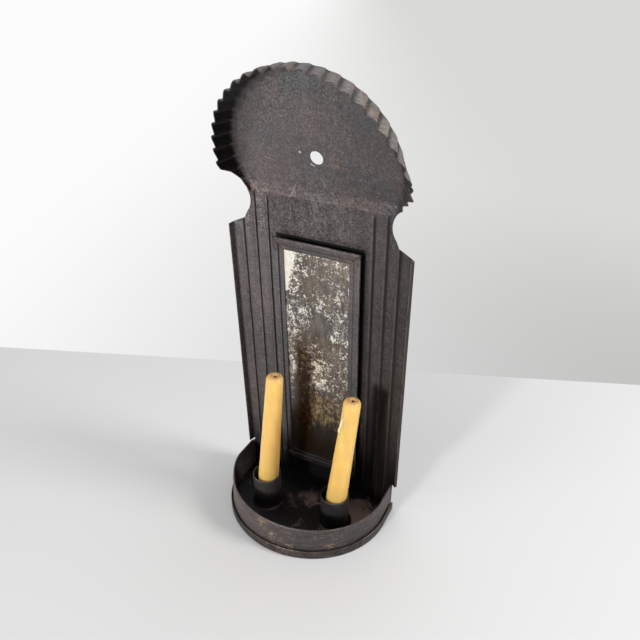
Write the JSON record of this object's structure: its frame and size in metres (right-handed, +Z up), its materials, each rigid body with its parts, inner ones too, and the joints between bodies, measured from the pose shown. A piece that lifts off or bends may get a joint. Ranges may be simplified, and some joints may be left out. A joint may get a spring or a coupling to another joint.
{
  "type": "wall sconce",
  "caption": "Tin wall sconce with a framed mirror on a creased back plate under a crimped round crest, and a half-round drip pan with sockets for candles.",
  "frame": {"origin": "middle of the sconce's width and depth, at the underside of the drip pan's floor", "axes": "+Z up, -Y out of the wall towards the room, +X to the right of a person who faces the sconce"},
  "size_m": [0.1482, 0.0896, 0.3653],
  "materials": {
    "tin": "browned tinplate, dull",
    "dark_tin": "darkened tinplate",
    "solder": "dull solder",
    "mirror": "old silvering, streaked and spotted",
    "card": "brown card",
    "wax": "beeswax, satin",
    "wick": "charred cotton"
  },
  "bodies": {
    "sconce": {"back_plate": "tin", "crest_disc": "tin", "crest_solder": "solder", "mirror_pan": "dark_tin", "backing_card": "card", "mirror_glass": "mirror", "frame_top": "tin", "frame_bottom": "tin", "frame_left": "tin", "frame_right": "tin", "frame_solder_bottom_left": "solder", "frame_solder_bottom_right": "solder", "frame_solder_top_left": "solder", "frame_solder_top_right": "solder", "pan_floor": "dark_tin", "pan_wall": "tin", "pan_solder_right": "solder", "pan_solder_left": "solder", "socket_left": "dark_tin", "socket_solder_left": "solder", "socket_right": "dark_tin", "socket_solder_right": "solder"},
    "left_candle": {"candle_left": "wax", "wick_left": "wick"},
    "right_candle": {"candle_right": "wax", "wick_right": "wick"}
  },
  "joints": [
    {"name": "candle_left_lift", "type": "slide", "parent": "sconce", "child": "left_candle", "axis": [0, 0, 1], "range_m": [0, 0.05]},
    {"name": "candle_right_lift", "type": "slide", "parent": "sconce", "child": "right_candle", "axis": [0, 0, 1], "range_m": [0, 0.05]}
  ]
}
